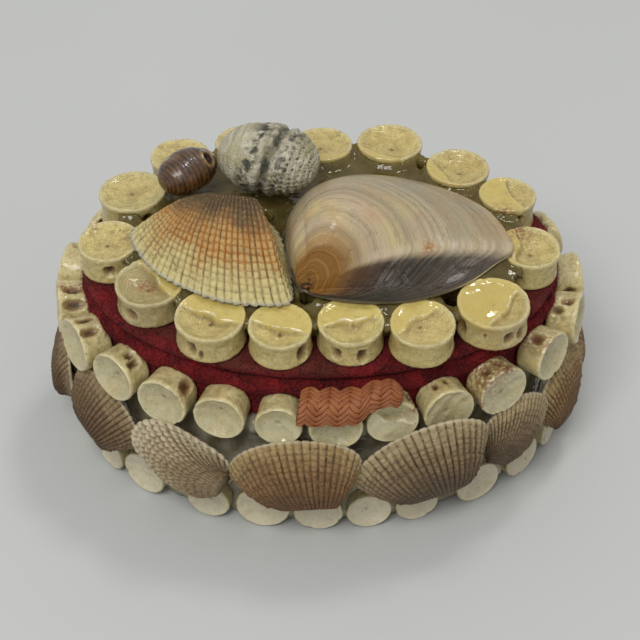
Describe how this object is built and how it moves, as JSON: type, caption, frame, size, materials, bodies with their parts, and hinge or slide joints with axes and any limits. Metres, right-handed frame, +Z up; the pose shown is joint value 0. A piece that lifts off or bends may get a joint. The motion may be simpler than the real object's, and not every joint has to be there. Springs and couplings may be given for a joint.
{
  "type": "shell box",
  "caption": "Lidded oval keepsake box covered in red velvet and set with fish vertebrae, ark shells, snail shells and a clam valve in clear glue, with a braided pull tab.",
  "frame": {"origin": "under the middle of the whole box, on the surface it stands on", "axes": "+X along the oval, +Y to the back, -Y to the front with the pull tab, +Z up"},
  "size_m": [0.1282, 0.0976, 0.0724],
  "materials": {
    "velvet": "deep red cotton velvet, glued down",
    "glue": "clear hardened glue, glossy, slightly yellow",
    "braid": "rust brown braid in a herringbone, glue-glossed",
    "lower_row": "bleached fish vertebrae in clear glue",
    "lid_bone": "cream yellow fish vertebra, partly glazed with glue",
    "bone": "ivory fish vertebra, satin",
    "ark": "dull tan ribbed ark shell",
    "lid_ark": "cream ribbed ark shell with orange and brown bands",
    "clam": "polished clam shell, cream and slate purple",
    "turban": "worn grey-white snail shell with dark speckles",
    "winkle": "dark brown corded winkle shell"
  },
  "bodies": {
    "root": {"box": "velvet", "lid": "velvet", "lid_glue": "glue", "pull_tab": "braid", "lower_row": "lower_row", "lid_ark_shell": "lid_ark", "lid_clam_shell": "clam", "lid_turban_shell": "turban", "lid_winkle_shell": "winkle", "lid_vertebra_01": "lid_bone", "lid_vertebra_02": "lid_bone", "lid_vertebra_03": "lid_bone", "lid_vertebra_04": "lid_bone", "lid_vertebra_05": "lid_bone", "lid_vertebra_06": "lid_bone", "lid_vertebra_07": "lid_bone", "lid_vertebra_08": "lid_bone", "lid_vertebra_09": "lid_bone", "lid_vertebra_10": "lid_bone", "lid_vertebra_11": "lid_bone", "lid_vertebra_12": "lid_bone", "lid_vertebra_13": "lid_bone", "lid_vertebra_14": "lid_bone", "lid_vertebra_15": "lid_bone", "upper_vertebra_01": "bone", "upper_vertebra_02": "bone", "upper_vertebra_03": "bone", "upper_vertebra_04": "bone", "upper_vertebra_05": "bone", "upper_vertebra_06": "bone", "upper_vertebra_07": "bone", "upper_vertebra_08": "bone", "upper_vertebra_09": "bone", "upper_vertebra_10": "bone", "upper_vertebra_11": "bone", "upper_vertebra_12": "bone", "upper_vertebra_13": "bone", "upper_vertebra_14": "bone", "upper_vertebra_15": "bone", "upper_vertebra_16": "bone", "upper_vertebra_17": "bone", "upper_vertebra_18": "bone", "upper_vertebra_19": "bone", "upper_vertebra_20": "bone", "upper_vertebra_21": "bone", "upper_vertebra_22": "bone", "upper_vertebra_23": "bone", "ark_shell_01": "ark", "ark_shell_02": "ark", "ark_shell_03": "ark", "ark_shell_04": "ark", "ark_shell_05": "ark", "ark_shell_06": "ark", "ark_shell_07": "ark", "ark_shell_08": "ark", "ark_shell_09": "ark", "ark_shell_10": "ark", "ark_shell_11": "ark", "ark_shell_12": "ark", "ark_shell_13": "ark"}
  },
  "joints": []
}
